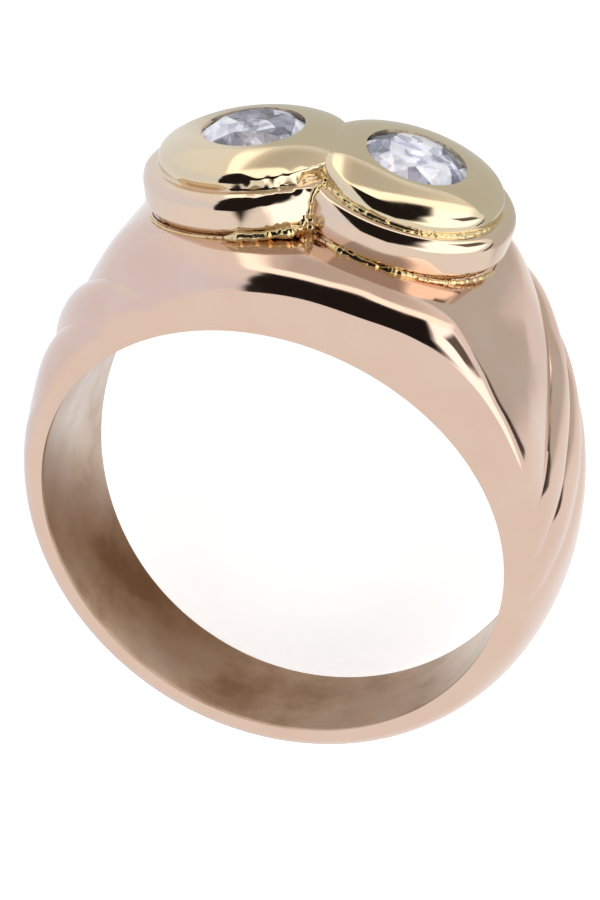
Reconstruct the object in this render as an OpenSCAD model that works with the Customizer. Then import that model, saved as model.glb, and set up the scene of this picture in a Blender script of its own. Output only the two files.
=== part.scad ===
/* [Finger hole] */
// bore of the band, where the finger goes, mm
hole_d = 18; // [15:0.5:22]

/* [Band] */
// width of the band across the finger at its lowest point, mm
shank_width = 4.43; // [3.6:0.1:5.2]
// width of the band half way up, mm
side_width = 7.08; // [6.4:0.1:7.8]
// width of the band over the top of the hole, mm
head_width = 11.53; // [10.8:0.1:12.4]
// how far the grooves turn round the finger from the middle of the band to its edge, degrees
twist_deg = 23; // [14:1:27]
// how much more the grooves lean on one side of the band than on the other, degrees
lean_deg = 7; // [0:1:9]
// depth of the first two grooves, as a share of the metal's thickness
groove_depth = 0.09; // [0.03:0.005:0.15]
// depth of the third groove, as a share of the metal's thickness
last_groove_depth = 0.05; // [0.02:0.005:0.1]

/* [Bezels] */
// distance of a bezel's foot from the middle of the ring, mm
bezel_offset = 2.54; // [2.3:0.02:2.9]
// distance of each bezel's foot out of line across the ring, mm
bezel_stagger = 0.18; // [0:0.02:0.4]
// outward lean of each bezel, degrees
bezel_lean = 11.3; // [8:0.1:14]
// height of the bezel seats above the ring's centre, mm
seat_height = 11.74; // [11.5:0.02:12]
// radius of the foot that sits in the band, mm
foot_r = 4; // [3.9:0.05:4.05]
// radius of the wide lower tier, mm
tier_r = 4.22; // [4.12:0.02:4.32]
// radius of the rounding of the lower tier's shoulder, mm
tier_round_r = 0.42; // [0.3:0.02:0.5]
// radius of the upper tier, mm
dome_r = 3.58; // [3.5:0.01:3.65]
// radius of the rounding of the upper tier's shoulder, mm
dome_round_r = 0.42; // [0.3:0.02:0.5]
// slope of the upper tier's face at its shoulder, degrees
face_slope = 29; // [26:1:32]
// radius of the gentle doming of that face, mm
face_round_r = 3.85; // [3.4:0.05:4.5]
// radius of the opening round each stone, mm
lip_r = 1.92; // [1.85:0.01:2]
// radius of the solder that fills the notch between the bezels, mm
solder_r = 0.6; // [0.4:0.05:0.8]

/* [Stones] */
// diameter of each brilliant across the girdle, mm
stone_d = 4.4; // [4.2:0.05:4.5]
// width of the table, as a share of the diameter
table_share = 0.57; // [0.5:0.01:0.64]
// height of the crown, as a share of the diameter
crown_share = 0.145; // [0.1:0.005:0.17]
// depth of the pavilion, as a share of the diameter
pavilion_share = 0.43; // [0.4:0.005:0.45]
// height of the girdle's lower edge above the seat, mm
girdle_height = 2.2; // [2.05:0.05:2.2]

/* [View] */
// piece to draw

/* [Hidden] */
$fn = 0;
$fa = 3;
$fs = 0.15;

rose = [0.86, 0.62, 0.53];
yellow = [0.88, 0.76, 0.47];
diamond = [0.82, 0.85, 0.92];

hole_r = hole_d / 2;
fit_gap = 0.03;
// how far the raw casting reaches into the hole before the bore is cut
stock_in = 0.8;
// edge thickness that the crest always keeps above the side wall
edge_min = 0.05;

// One row for each station round the band. The angle runs from the head towards the right stone.
// angle, thickness over the middle, height of the flat side wall, share of the half width that is rounded
STATION = 0;
CREST = 1;
WALL = 2;
ROUNDED = 3;
stations = [
    [-180, 1.20, 0.35, 1.00],
    [-140, 1.25, 0.35, 1.00],
    [-100, 1.35, 0.35, 1.00],
    [-75, 1.60, 0.35, 0.98],
    [-60, 2.10, 0.32, 0.90],
    [-45, 2.76, 0.30, 0.80],
    [-30, 3.48, 0.25, 0.72],
    [-22, 3.40, 0.45, 0.62],
    [-12, 3.20, 1.38, 0.56],
    [-3, 3.15, 1.70, 0.54],
    [6, 3.15, 1.94, 0.49],
    [15, 3.20, 2.06, 0.45],
    [30, 3.45, 2.58, 0.37],
    [40, 3.02, 2.50, 0.29],
    [48, 2.62, 2.26, 0.32],
    [60, 2.25, 1.68, 0.50],
    [74, 1.95, 1.02, 0.82],
    [90, 1.68, 0.60, 0.97],
    [110, 1.45, 0.40, 1.00],
    [140, 1.28, 0.35, 1.00],
    [180, 1.20, 0.35, 1.00]
];

// grooves on the right and on the left of the head, degrees round the band at its middle
right_grooves = [55, 67.5, 79.5, 93];
left_grooves = [55, 70.3, 96, 112];
// stretch before the first groove over which the head falls away, degrees, and how gently it begins
shoulder_deg = 14;
shoulder_power = 1.4;
// sharpness of the lobes between the grooves
lobe_power = 2.1;
// thickness added before the grooves' share is taken, so that they also mark the thin edges, mm
groove_reach = 0.6;
// degrees round the band over which the lobes run out into the plain shank
fade_from = 80;
fade_to = 118;
// steps of the grid: over the head, in each lobe, round the shank, and across the band
head_steps = 30;
lobe_steps = 5;
shank_steps = 24;
across_steps = 28;

// how the band lies: front side up, on the back edge of the head and of the shank
head_edge = hole_r + 2.4;
lay_tilt = atan((half_width(head_edge) - half_width(-hole_r)) / (head_edge + hole_r));

stone_r = stone_d / 2;
table_r = stone_r * table_share;
crown_h = stone_d * crown_share;
girdle_h = stone_d * 0.03;
pavilion_h = stone_d * pavilion_share;
stone_sides = 8;
half_turn = 180 / stone_sides;
star_r = stone_r * 0.8;
lower_r = stone_r * 0.24;
crown_slope = crown_h / (stone_r - table_r);
pavilion_slope = pavilion_h / stone_r;

foot_depth = 0.5;
foot_top = 0.2;
tier_base_r = 0.25;
tier_top = 1.64;
dome_wall_top = 1.91;
dome_turn = [dome_r - dome_round_r, dome_wall_top];
face_reach = face_round_r - dome_round_r;
face_centre = dome_turn - face_reach * [sin(face_slope), cos(face_slope)];
face_edge = dome_turn[0] + dome_round_r * sin(face_slope);
above_lip = 3.4;
core_r = 1.3;
recess_r = stone_r + 0.05;
lip_edge_h = girdle_height + girdle_h + (recess_r - lip_r) * crown_slope + 0.06;
solder_y = 3.02;
solder_z = 12.45;

function half_width(z) =
    let (k = z / hole_r)
    (side_width + (head_width - shank_width) / 2 * k
        + ((head_width + shank_width) / 2 - side_width) * k * k) / 2;

function ease(a, b, x) = let (t = min(1, max(0, (x - a) / (b - a)))) t * t * (3 - 2 * t);

// smooth reading of one column of the station table, with no overshoot
function rise(c, i) = (stations[i + 1][c] - stations[i][c]) / (stations[i + 1][STATION] - stations[i][STATION]);
function slope(c, i) =
    i == 0 || i == len(stations) - 1 ? 0
    : let (a = rise(c, i - 1), b = rise(c, i)) a * b <= 0 ? 0 : 2 * a * b / (a + b);
function place(x, i = 0) = i >= len(stations) - 2 || x < stations[i + 1][STATION] ? i : place(x, i + 1);
function column(c, x) =
    let (i = place(x), h = stations[i + 1][STATION] - stations[i][STATION],
        t = min(1, max(0, (x - stations[i][STATION]) / h)),
        p = stations[i][c], q = stations[i + 1][c], m = slope(c, i) * h, n = slope(c, i + 1) * h)
    (2 * t * t * t - 3 * t * t + 1) * p + (t * t * t - 2 * t * t + t) * m
        + (3 * t * t - 2 * t * t * t) * q + (t * t * t - t * t) * n;

// angle round the band of the grid line u at the share t of the half width
function turned(u, t) =
    let (a = u - ((twist_deg - 4) * t + 4 * t * t * t + lean_deg * t * t * sin(u)))
    a > 180 ? a - 360 : a < -180 ? a + 360 : a;

// share of the thickness taken away by the grooves on the grid line u
function depth_of(i) = i < 2 ? groove_depth : i == 2 ? last_groove_depth : 0;
function between(g, a, i) =
    let (m = (g[i] + g[i + 1]) / 2, w = (g[i + 1] - g[i]) / 2)
    depth_of(a < m ? i : i + 1) * pow(abs(a - m) / w, lobe_power);
function cut_share(u) =
    let (g = u < 0 ? left_grooves : right_grooves, a = abs(u))
    a <= g[0] ? groove_depth * pow(max(0, (a - g[0] + shoulder_deg) / shoulder_deg), shoulder_power)
    : a <= g[1] ? between(g, a, 0)
    : a <= g[2] ? between(g, a, 1)
    : a <= g[3] ? between(g, a, 2) : 0;
function groove_share(u, t) =
    cut_share(u) * (1 - ease(fade_from, fade_to, abs(u)))
        * (0.25 + 0.75 * ease(-1.05, -0.45, t * sign(u)));

// thickness of the metal outside the hole, before the grooves
function cover(a, s, t) =
    let (crest = column(CREST, a), wall = min(column(WALL, s), crest - edge_min), r = column(ROUNDED, s),
        q = min(1, max(0, (abs(t) - 1 + r) / r)))
    wall + (crest - wall) * sqrt(1 - q * q);

function on_band(a, r, t) = [r * sin(a), t * half_width(r * cos(a)), r * cos(a)];

function skin(u, t) =
    let (a = turned(u, t), s = t < 0 ? a : -a, c = cover(a, s, t))
    on_band(a, hole_r + c - (c + groove_reach) * groove_share(u, t), t);

function stock(u, t) = on_band(turned(u, t), hole_r - stock_in, t);

// grid lines round the band, finer over the lobes than round the shank
function spread(a, b, n) = [for (i = [0:n - 1]) a + (b - a) * i / n];
lines = concat(
    spread(-left_grooves[0], right_grooves[0], head_steps),
    [for (i = [0:2]) each spread(right_grooves[i], right_grooves[i + 1], lobe_steps)],
    spread(right_grooves[3], 360 - left_grooves[3], shank_steps),
    [for (i = [2:-1:0]) each spread(-left_grooves[i + 1], -left_grooves[i], lobe_steps)]
);
function wrapped(u) = u > 180 ? u - 360 : u;
across = [for (j = [0:across_steps]) sin(-90 + 180 * j / across_steps)];

module casting() {
    n = len(lines);
    m = len(across) + 2;
    points = [for (u = lines) let (w = wrapped(u)) each concat(
        [stock(w, -1)], [for (t = across) skin(w, t)], [stock(w, 1)])];
    faces = [for (i = [0:n - 1], j = [0:m - 1])
        let (k = (i + 1) % n, l = (j + 1) % m, a = i * m + j, b = i * m + l, c = k * m + l, d = k * m + j)
        each [[a, b, c], [a, c, d]]];
    polyhedron(points = points, faces = faces, convexity = 6);
}

// seat of the bezel on the right (side = 1) or on the left (side = -1)
module at_seat(side) {
    translate([side * bezel_offset, side * bezel_stagger, seat_height]) rotate([0, side * bezel_lean, 0]) children();
}

module lay() {
    rotate([lay_tilt - 90, 0, 0]) children();
}

module solder(r) {
    for (side = [-1, 1]) translate([0, side * solder_y, solder_z]) sphere(r);
}

module upright_band() {
    difference() {
        casting();
        rotate([90, 0, 0]) cylinder(r = hole_r, h = 4 * head_width, center = true);
        for (side = [-1, 1]) at_seat(side) {
            translate([0, 0, -foot_depth - fit_gap]) cylinder(r = foot_r + fit_gap, h = above_lip);
            translate([0, 0, foot_top - fit_gap]) cylinder(r = tier_r + fit_gap, h = above_lip);
            translate([0, 0, -seat_height / 2]) cylinder(r = core_r, h = seat_height / 2);
        }
        solder(solder_r + fit_gap);
    }
}

module bezel_blank() {
    rotate_extrude() union() {
        translate([0, -foot_depth]) square([foot_r, foot_depth + foot_top + tier_base_r]);
        translate([tier_r - tier_base_r, foot_top + tier_base_r]) circle(tier_base_r);
        translate([0, foot_top + tier_base_r])
            square([tier_r, tier_top - tier_round_r - foot_top - tier_base_r]);
        translate([tier_r - tier_round_r, tier_top - tier_round_r]) circle(tier_round_r);
        square([tier_r - tier_round_r, tier_top]);
        square([dome_r, dome_wall_top]);
        translate(dome_turn) circle(dome_round_r);
        intersection() {
            translate(face_centre) circle(face_round_r);
            square([face_edge, above_lip]);
        }
    }
}

module stone_seat() {
    cone_drop = (recess_r - core_r) * pavilion_slope;
    rotate_extrude() polygon([
        [0, -foot_depth - 1], [core_r, -foot_depth - 1],
        [core_r, girdle_height - fit_gap - cone_drop],
        [recess_r, girdle_height - fit_gap],
        [recess_r, lip_edge_h - (recess_r - lip_r) * crown_slope],
        [lip_r, lip_edge_h],
        [lip_r, above_lip], [0, above_lip]
    ]);
}

module upright_bezels() {
    difference() {
        union() {
            for (side = [-1, 1]) at_seat(side) bezel_blank();
            solder(solder_r);
        }
        for (side = [-1, 1]) at_seat(side) stone_seat();
    }
}

function ring_of(r, z, shift, n = stone_sides) = [for (i = [0:n - 1])
    let (a = (i + shift) * 360 / n) [r * cos(a), r * sin(a), z]];

// round brilliant with its girdle's lower edge at z = 0
module brilliant() {
    n = stone_sides;
    star_z = girdle_h + crown_slope * (stone_r - star_r * cos(half_turn));
    lower_z = -pavilion_slope * (stone_r - lower_r * cos(half_turn));
    points = concat(
        ring_of(table_r, girdle_h + crown_h, 0),
        ring_of(star_r, star_z, 0.5),
        ring_of(stone_r, girdle_h, 0, 2 * n),
        ring_of(stone_r, 0, 0, 2 * n),
        ring_of(lower_r, lower_z, 0.5),
        [[0, 0, -pavilion_h]]);
    star = n;
    top = 2 * n;
    low = 4 * n;
    pav = 6 * n;
    tip = 7 * n;
    faces = concat(
        [[for (i = [n - 1:-1:0]) i]],
        [for (i = [0:n - 1]) let (j = (i + 1) % n, h = (i + n - 1) % n,
            g = top + 2 * i, g1 = g + 1, g2 = top + 2 * j, b = low + 2 * i, b1 = b + 1, b2 = low + 2 * j)
            each [
                [i, j, star + i],
                [i, star + i, g], [i, g, star + h],
                [star + i, g1, g], [star + i, g2, g1],
                [g, g1, b1], [g, b1, b], [g1, g2, b2], [g1, b2, b1],
                [pav + i, b, b1], [pav + i, b1, b2],
                [tip, b, pav + i], [tip, pav + h, b]
            ]]);
    polyhedron(points = points, faces = faces, convexity = 2);
}

module upright_stone(side) {
    at_seat(side) translate([0, 0, girdle_height]) rotate([0, 0, side * half_turn / 2]) brilliant();
}

module band() {
    color(rose) lay() upright_band();
}

module bezel_pair() {
    color(yellow) lay() upright_bezels();
}

module stone_left() {
    color(diamond) lay() upright_stone(-1);
}

module stone_right() {
    color(diamond) lay() upright_stone(1);
}

band();
bezel_pair();
stone_left();
stone_right();
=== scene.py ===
"""Two-stone gold ring: a rose gold band with slanting lobes on its shoulders, two yellow gold bezels
soldered side by side, and a brilliant in each."""

import math

import bpy
import numpy as np
from mathutils import Matrix, Vector, noise


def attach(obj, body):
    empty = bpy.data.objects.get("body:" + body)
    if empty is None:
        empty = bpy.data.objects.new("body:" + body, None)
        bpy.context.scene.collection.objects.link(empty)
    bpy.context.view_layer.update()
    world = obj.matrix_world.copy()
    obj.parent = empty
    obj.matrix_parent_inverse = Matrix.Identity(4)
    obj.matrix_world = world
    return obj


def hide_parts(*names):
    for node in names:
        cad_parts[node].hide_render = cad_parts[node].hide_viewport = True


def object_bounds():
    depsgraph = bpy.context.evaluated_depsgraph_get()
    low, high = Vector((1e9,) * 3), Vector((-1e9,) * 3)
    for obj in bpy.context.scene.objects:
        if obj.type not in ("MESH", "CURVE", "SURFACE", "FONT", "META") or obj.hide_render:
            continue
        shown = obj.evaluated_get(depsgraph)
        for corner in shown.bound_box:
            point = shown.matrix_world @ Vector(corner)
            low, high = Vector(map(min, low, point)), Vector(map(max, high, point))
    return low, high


MM = 0.001
# left and right as the camera sees the ring, and its front and back: the signs of X and of Y
SIDES = {"left": -1, "right": 1}
ENDS = {"front": -1, "back": 1}

# Finger hole and band, in millimetres and degrees, in the upright ring's own frame:
# X across the finger to the right, Y along the finger to the back, Z up to the stones.
HOLE_R = 9.0
SHANK_WIDTH = 4.43
SIDE_WIDTH = 7.08
HEAD_WIDTH = 11.53
# height above the hole at which the head's edge touches the surface that the ring lies on
REST_HEIGHT = 2.4
# turn of the grooves from the middle to the edge: in all, near the edge alone, and alike at both edges
TWIST_DEG = 23.0
CURL_DEG = 4.0
LEAN_DEG = 7.0
# share of the metal's thickness, and of this much more, that each groove takes away
GROOVE_DEPTHS = (0.09, 0.09, 0.05, 0.0)
GROOVE_REACH = 0.6
RIGHT_GROOVES = (55.0, 67.5, 79.5, 93.0)
LEFT_GROOVES = (55.0, 70.3, 96.0, 112.0)
# the slope down to the first groove, and how curved it and the lobes are
SHOULDER_DEG = 14.0
SHOULDER_POWER = 1.4
LOBE_POWER = 2.1
# the grooves fade out between these angles, and start shallow at one edge of the band
FADE_DEG = (80.0, 118.0)
GROOVE_START = (-1.05, -0.45)
GROOVE_START_SHARE = 0.25
# least rise of the skin from its side walls to its middle
EDGE_MIN = 0.05

# One row for each station round the band. The angle runs from the head towards the right stone.
# angle, thickness over the middle, height of the flat side wall, share of the half width that is rounded
STATIONS = np.array([
    (-180, 1.20, 0.35, 1.00),
    (-140, 1.25, 0.35, 1.00),
    (-100, 1.35, 0.35, 1.00),
    (-75, 1.60, 0.35, 0.98),
    (-60, 2.10, 0.32, 0.90),
    (-45, 2.76, 0.30, 0.80),
    (-30, 3.48, 0.25, 0.72),
    (-22, 3.40, 0.45, 0.62),
    (-12, 3.20, 1.38, 0.56),
    (-3, 3.15, 1.70, 0.54),
    (6, 3.15, 1.94, 0.49),
    (15, 3.20, 2.06, 0.45),
    (30, 3.45, 2.58, 0.37),
    (40, 3.02, 2.50, 0.29),
    (48, 2.62, 2.26, 0.32),
    (60, 2.25, 1.68, 0.50),
    (74, 1.95, 1.02, 0.82),
    (90, 1.68, 0.60, 0.97),
    (110, 1.45, 0.40, 1.00),
    (140, 1.28, 0.35, 1.00),
    (180, 1.20, 0.35, 1.00),
])
ANGLE, CREST, WALL, ROUNDED = range(4)

# Steps of the band's grid
HEAD_STEPS = 170
LOBE_STEPS = 30
SHANK_STEPS = 110
ACROSS_STEPS = 84
WALL_STEPS = 12
EDGE_STEPS = 5
BORE_STEPS = 26
# flare of the finger hole at its two sharp edges: radius of the curve, and how far it turns
FLARE_R = 0.6
FLARE_DEG = 17.0

# Bezels, with heights above their seats
BEZEL_OFFSET = 2.54
BEZEL_STAGGER = 0.18
BEZEL_LEAN = 11.3
SEAT_HEIGHT = 11.74
FIT_GAP = 0.03
FOOT_R = 4.0
FOOT_DEPTH = 0.5
FOOT_TOP = 0.2
TIER_R = 4.22
TIER_TOP = 1.64
TIER_BASE_R = 0.25
TIER_ROUND_R = 0.42
DOME_R = 3.58
DOME_WALL_TOP = 1.91
DOME_ROUND_R = 0.42
FACE_SLOPE = 29.0
FACE_ROUND_R = 3.85
ABOVE_LIP = 3.4
LIP_R = 1.92
CORE_R = 1.3
# fillet in the crease between a bezel's tiers, and the least ledge outside it
CREASE_R = 0.1
LEDGE_MIN = 0.01
# how far the domed face runs on inside the lip's edge, and how far cuts run past what they cut
FACE_PAST_LIP = 0.3
CUT_PAST = 1.0
# steps of a lathe and of the bezels round their axes, and of the arcs in a bezel's profile
LATHE_STEPS = 168
BEZEL_STEPS = 300
BASE_STEPS = 10
SHOULDER_STEPS = 18
CREASE_STEPS = 8
DOME_STEPS = 16
FACE_STEPS = 24

# Wear and solder on the left bezel's front: each stretch's two angles and the softness of its ends
WORN_DEG = (-165.0, -30.0, 10.0)
FILLED_DEG = (-76.0, -14.0, 6.0)
GOUGED_DEG = (-122.0, -92.0, 5.0)
# rounding of the worn lower tier, and the share of the wear that the solder hides
WORN_ROUND_R = 0.62
WORN_HIDDEN = 0.6
# the tier that solder widens, and the rough strip along it
FILLED_R = 3.68
FILLED_ROUND_R = 0.1
FILL_ROUGH = 0.17
FILL_GRAIN = 3.4
FILL_HEIGHT = 0.12
FILL_SPREAD = 0.26
FILL_INSIDE = 0.2
# the gouge in the crease: its depth and spread
GOUGE_DEPTH = 0.14
GOUGE_SPREAD = 0.12

# Notch between the bezels: heights that its ridges join, and how its line is searched for
NOTCH_HEIGHTS = (12.6, 14.2)
NOTCH_STEPS = 40
NOTCH_START = 2.9
NOTCH_ROUNDS = 12
NOTCH_PROBE = 0.01
NOTCH_STRIDE = 0.3
# Ridges in the notch. Columns: name, shift from the notch, half width, ripple, seed
RIDGES = (
    ("notch_ridge", (-0.04, 0.0, 0.0), 0.11, 0.5, 3.1),
    ("notch_ridge_b", (0.13, 0.0, -0.05), 0.08, 0.5, 8.4),
)
# Lump under the ridges: its place, half sizes, ripple and seed
LUMP_AT = (0.02, 3.02, 12.45)
LUMP_SIZE = (0.5, 0.52, 0.5)
LUMP_RIPPLE = 0.3
LUMP_SEED = 2.0
# Runs of solder round the bezels. Columns: name, bezel at the front, angles, radii and heights at both
# ends, half width, ripple, seed, squash
RUNS = (
    ("crease_a", "right", (-126, -84), (DOME_R + 0.05, DOME_R + 0.08), (1.70, 1.67), 0.12, 0.35, 5.0, 1.0),
    ("crease_b", "right", (-112, -30), (DOME_R + 0.2, DOME_R + 0.1), (1.63, 1.65), 0.06, 0.5, 12.0, 1.0),
    ("crease_c", "right", (-70, 10), (DOME_R + 0.03, DOME_R + 0.04), (1.67, 1.66), 0.055, 0.6, 21.0, 1.0),
    ("foot_a", "right", (-112, -62), (TIER_R + 0.02, TIER_R), (0.16, 0.18), 0.14, 0.5, 31.0, 1.0),
    ("foot_b", "right", (-78, -8), (TIER_R - 0.02, TIER_R - 0.06), (0.10, -0.05), 0.08, 0.6, 43.0, 1.0),
    ("patch", "left", (-90, -50), (TIER_R + 0.12, TIER_R + 0.1), (0.16, 0.22), 0.27, 0.6, 57.0, 0.75),
    ("foot_c", "left", (-150, -84), (TIER_R - 0.04, TIER_R), (-0.04, 0.10), 0.05, 0.3, 61.0, 1.0),
)
# Make of a run of solder, with its taper, lumps and wander in half widths
STRAND_STEP = 0.035
STRAND_MIN_STEPS = 12
STRAND_SIDES = 14
STRAND_TAPER = 2.2
STRAND_TIP = 0.02
STRAND_LUMP = 3.5
STRAND_SMALL_LUMP = 1.3
STRAND_SMALL = 0.5
STRAND_WANDER = 0.35
WANDER_LENGTH = 0.9
STRAND_ROUGH = 0.5
STRAND_GRAIN = 5.5
# Make of a lump of solder, with its dents in repeats on a ball of radius 1
LUMP_SIDES = 48
LUMP_RINGS = 25
LUMP_BROAD = 2.0
LUMP_FINE_GRAIN = 6.0
LUMP_FINE = 0.4

# Brilliants, and the clearances round them
STONE_R = 2.2
STONE_GAP = 0.05
LIP_GAP = 0.06
RECESS_R = STONE_R + STONE_GAP
TABLE_R = 0.57 * STONE_R
CROWN_H = 0.145 * 2 * STONE_R
GIRDLE_H = 0.03 * 2 * STONE_R
PAVILION_H = 0.43 * 2 * STONE_R
STAR_R = 0.8 * STONE_R
LOWER_R = 0.24 * STONE_R
STONE_SIDES = 8
GIRDLE_HEIGHT = 2.2
CROWN_SLOPE = CROWN_H / (STONE_R - TABLE_R)
PAVILION_SLOPE = PAVILION_H / STONE_R
LIP_EDGE_H = GIRDLE_HEIGHT + GIRDLE_H + (RECESS_R - LIP_R) * CROWN_SLOPE + LIP_GAP

# edges sharper than this stay crisp under smooth shading
CRISP_DEG = 35

# The camera stands where the photographer's stood: its direction from the ring, its turn about the
# view axis and its distance, as fitted to the photograph. The lens fills the upright frame.
CAMERA_AZIMUTH = 50.67
CAMERA_ELEVATION = 69.22
CAMERA_ROLL = 5.93
CAMERA_DISTANCE = 200.2
CAMERA_AIM = (-0.278, 1.445, -0.357)
CAMERA_LENS = 212.77
CAMERA_SENSOR = 36.0
CAMERA_CLIP = 0.01

# Gold: (pale tone, deep tone) and (least, most) roughness of each alloy
ROSE_TONES = ((0.775, 0.575, 0.47), (0.75, 0.54, 0.43))
ROSE_POLISH = (0.05, 0.13)
YELLOW_TONES = ((0.79, 0.67, 0.48), (0.77, 0.63, 0.43))
YELLOW_POLISH = (0.05, 0.12)
SOLDER_TONES = ((0.80, 0.68, 0.42), (0.70, 0.50, 0.22))
SOLDER_POLISH = (0.10, 0.30)
# the bezels' lower tiers, up to a step in height, and the finger hole's wall, up to a step in radius
LOW_TIER_TONE = (0.79, 0.615, 0.48)
LOW_TIER_END = (1.45, 1.85)
# painted brown shade on the finger hole's wall, and its rougher polish
BORE_SHADE_TONES = ((0.40, 0.25, 0.15), (0.62, 0.45, 0.32), (0.70, 0.56, 0.44))
BORE_ROUGH = 0.24
BORE_END = (0.002, 0.06)
# patterns in the gold: (repeats per metre, detail), and where along a pattern its stops lie
TONE_GRAIN = (420, 3)
TONE_AT = (0.35, 0.7)
POLISH_GRAIN = (900, 5)
POLISH_AT = (0.3, 0.75)
BORE_GRAIN = (260, 6)
BORE_AT = (0.32, 0.5, 0.68)
BORE_CLOUD = 0.62
SCRATCH_GRAIN = (2500, 2)
SCRATCH_STRETCH = (0.12, 1, 1)
SCRATCH_BUMP = (0.05, 0.00002)
WAVE_GRAIN = (330, 1)
WAVE_BUMP = (0.5, 0.00009)

# Stones: painted reflections in two layers of patches as (repeats per metre, weight), their shades, and the
# painted shade of the darker far rim, which fades between two heights in the stone's box
PATCHES = ((930.0, 0.68), (2600.0, 0.32))
PAINTED_REFLECTION_SHADES = (
    (0.18, (0.02, 0.02, 0.035)),
    (0.36, (0.2, 0.2, 0.28)),
    (0.54, (0.46, 0.47, 0.6)),
    (0.7, (0.88, 0.9, 0.98)),
    (0.82, (1.0, 1.0, 1.0)),
)
RIM_HEIGHTS = (0.1, 0.42)
RIM_SHARE = 0.6
PAINTED_RIM_SHADE = (0.13, 0.13, 0.18, 1.0)
STONE_IOR = 2.42
# the patches glow too: painted light, not a lamp
STONE_PAINTED_GLOW = 0.2
STONE_CLEAR = 0.6

# Paper under the ring, and the glowing card of painted reflections that takes its place in the metal's
# reflections
PAPER_GRAIN = (3000, 4)
PAPER_SHADES = ((0.3, (0.86, 0.86, 0.86)), (0.7, (0.89, 0.89, 0.89)))
PAPER_GLOW = 0.84
PAPER_ROUGH = 0.9
FLOOR_SIDES = 96
FLOOR_R = 600.0
CARD_R = 27.0
CARD_RISE = 0.01
# Zones of the card, in millimetres: a step in x and one in y, each by where it starts and is whole
CARD_PALE = (0.95, 0.95, 0.95, 1.0)
CARD_COOL = (0.86, 0.89, 0.97, 1.0)
COOL_LEFTWARDS = (2.0, 14.0)
# painted half shadow at the soft edge of the ring's shadow on the table
CARD_HALF_SHADOW = (0.86, 0.84, 0.84, 1.0)
HALF_SHADOW_ZONE = ((7.5, 10.0), (4.5, 7.5))
# painted shadow of the ring on the table beyond its right shoulder, in taupe; the zone behind takes the same
# taupe
CARD_CAST_SHADOW = (0.6, 0.61, 0.585, 1.0)
CAST_SHADOW_ZONE = ((10.9, 11.9), (5.8, 8.6))
BEHIND_ZONE = ((-11.0, -6.0), (10.0, 13.0))
# a dark thing at the far end, between a step in x, one along y + NEAR_SLOPE x and one along FAR_SLOPE x - y
CARD_THING = (0.07, 0.06, 0.06, 1.0)
THING_X = (20.0, 21.6)
NEAR_SLOPE = 0.35
NEAR_LINE = (11.2, 12.2)
FAR_SLOPE = 3.0
FAR_LINE = (40.5, 43.5)
# brown shade inside the finger hole: an ellipse, fading from this share of its radii squared, and paler on
# the right and in a crescent
CARD_BROWN = (0.31, 0.23, 0.18, 1.0)
HOLE_CENTRE = (-2.5, -7.0)
HOLE_RADII = (10.0, 8.0)
HOLE_FADE = 0.25
PALER_X = (-4.0, 0.0)
PALER = 0.28
CRESCENT_ZONE = ((-3.9, -3.4), (-4.4, -3.95))
CRESCENT = 0.85

# The light tent, as the photograph's reflections show it. A dark slot, which the camera looks through,
# runs between two edges along SLOT_AXIS. Angles are counted along that axis and round it, from the
# slot's middle, in degrees: (along, round) pairs give each edge, and RIGHT_SOFT its softness.
SLOT_AXIS = (-103.5, 24.0)
LEFT_EDGE = ((34.0, -29.0), (62.0, -32.5), (82.0, -34.5), (118.0, -45.7), (135.0, -55.0))
LEFT_SOFT = 1.5
RIGHT_EDGE = ((20.0, 13.0), (35.0, 21.0), (50.0, 30.0), (60.0, 37.0), (80.0, 40.0), (112.0, 29.0))
RIGHT_SOFT = ((32.0, 2.0), (50.0, 8.0), (80.0, 13.0), (112.0, 6.0))
# where the slot begins along its axis, as (place, softness)
NEAR_END = (34.0, 2.0)
# how high the slot ends at its far end: (compass bearing, height) pairs
FAR_END = ((50.0, -24.0), (56.0, -21.0), (62.0, -15.0), (68.0, -11.0), (80.0, -1.0), (92.0, 9.0),
           (110.0, 11.0))
FAR_SOFT = 2.5
# bright cloth beyond the right edge: its far edge and where it begins by height and along the axis
BRIGHT = 1.7
BRIGHT_EDGE = ((30.0, 45.0), (90.0, 99.0))
BRIGHT_SOFT = 2.5
BRIGHT_HEIGHT = (-24.0, 5.0)
BRIGHT_ALONG = (52.0, 3.0)
# the tent beyond the slot's far end: (bearing, light) pairs, tint, where it begins and ends by bearing and
# begins by height, and a brighter hem of this width next to the slot
FOOT = ((56.0, 0.85), (68.0, 0.9), (76.0, 0.78), (86.0, 0.66), (98.0, 0.6), (106.0, 0.62), (111.0, 0.8),
        (114.0, 1.7), (118.5, 1.7), (120.0, 0.95))
FOOT_TINT = (1.0, 0.95, 0.88)
FOOT_BEGINS = (54.0, 3.0)
FOOT_ENDS = (120.0, 1.0)
FOOT_HEIGHT = (-30.0, 6.0)
HEM = 1.6
HEM_WIDTH = 13.0
# a dim thing low down on the right: (place, softness) of its two sides, foot and top
DIM = (0.15, 0.135, 0.12, 1.0)
DIM_AZIMUTH = ((24.0, 2.0), (50.0, 4.0))
DIM_HEIGHT = ((-22.0, 3.0), (1.0, 2.0))
# the tent itself, with its cool side between two bearings, and the dark in the slot
MEDIUM = (0.95, 0.95, 0.95, 1.0)
COOL = (0.86, 0.90, 1.0, 1.0)
COOL_AZIMUTH = ((145.0, 15.0), (-150.0, 12.0))
DARK = (0.016, 0.013, 0.012, 1.0)
# share of the dark that is left in light bounced twice, and the ray depth that tells it
SECOND_DARK = 0.45
SECOND_DEPTH = 2.5


def half_width(z):
    """Half the band's width across the finger at the height z above the ring's centre."""
    k = z / HOLE_R
    flare = (HEAD_WIDTH - SHANK_WIDTH) / 2
    swell = (HEAD_WIDTH + SHANK_WIDTH) / 2 - SIDE_WIDTH
    return (SIDE_WIDTH + flare * k + swell * k * k) / 2


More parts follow.
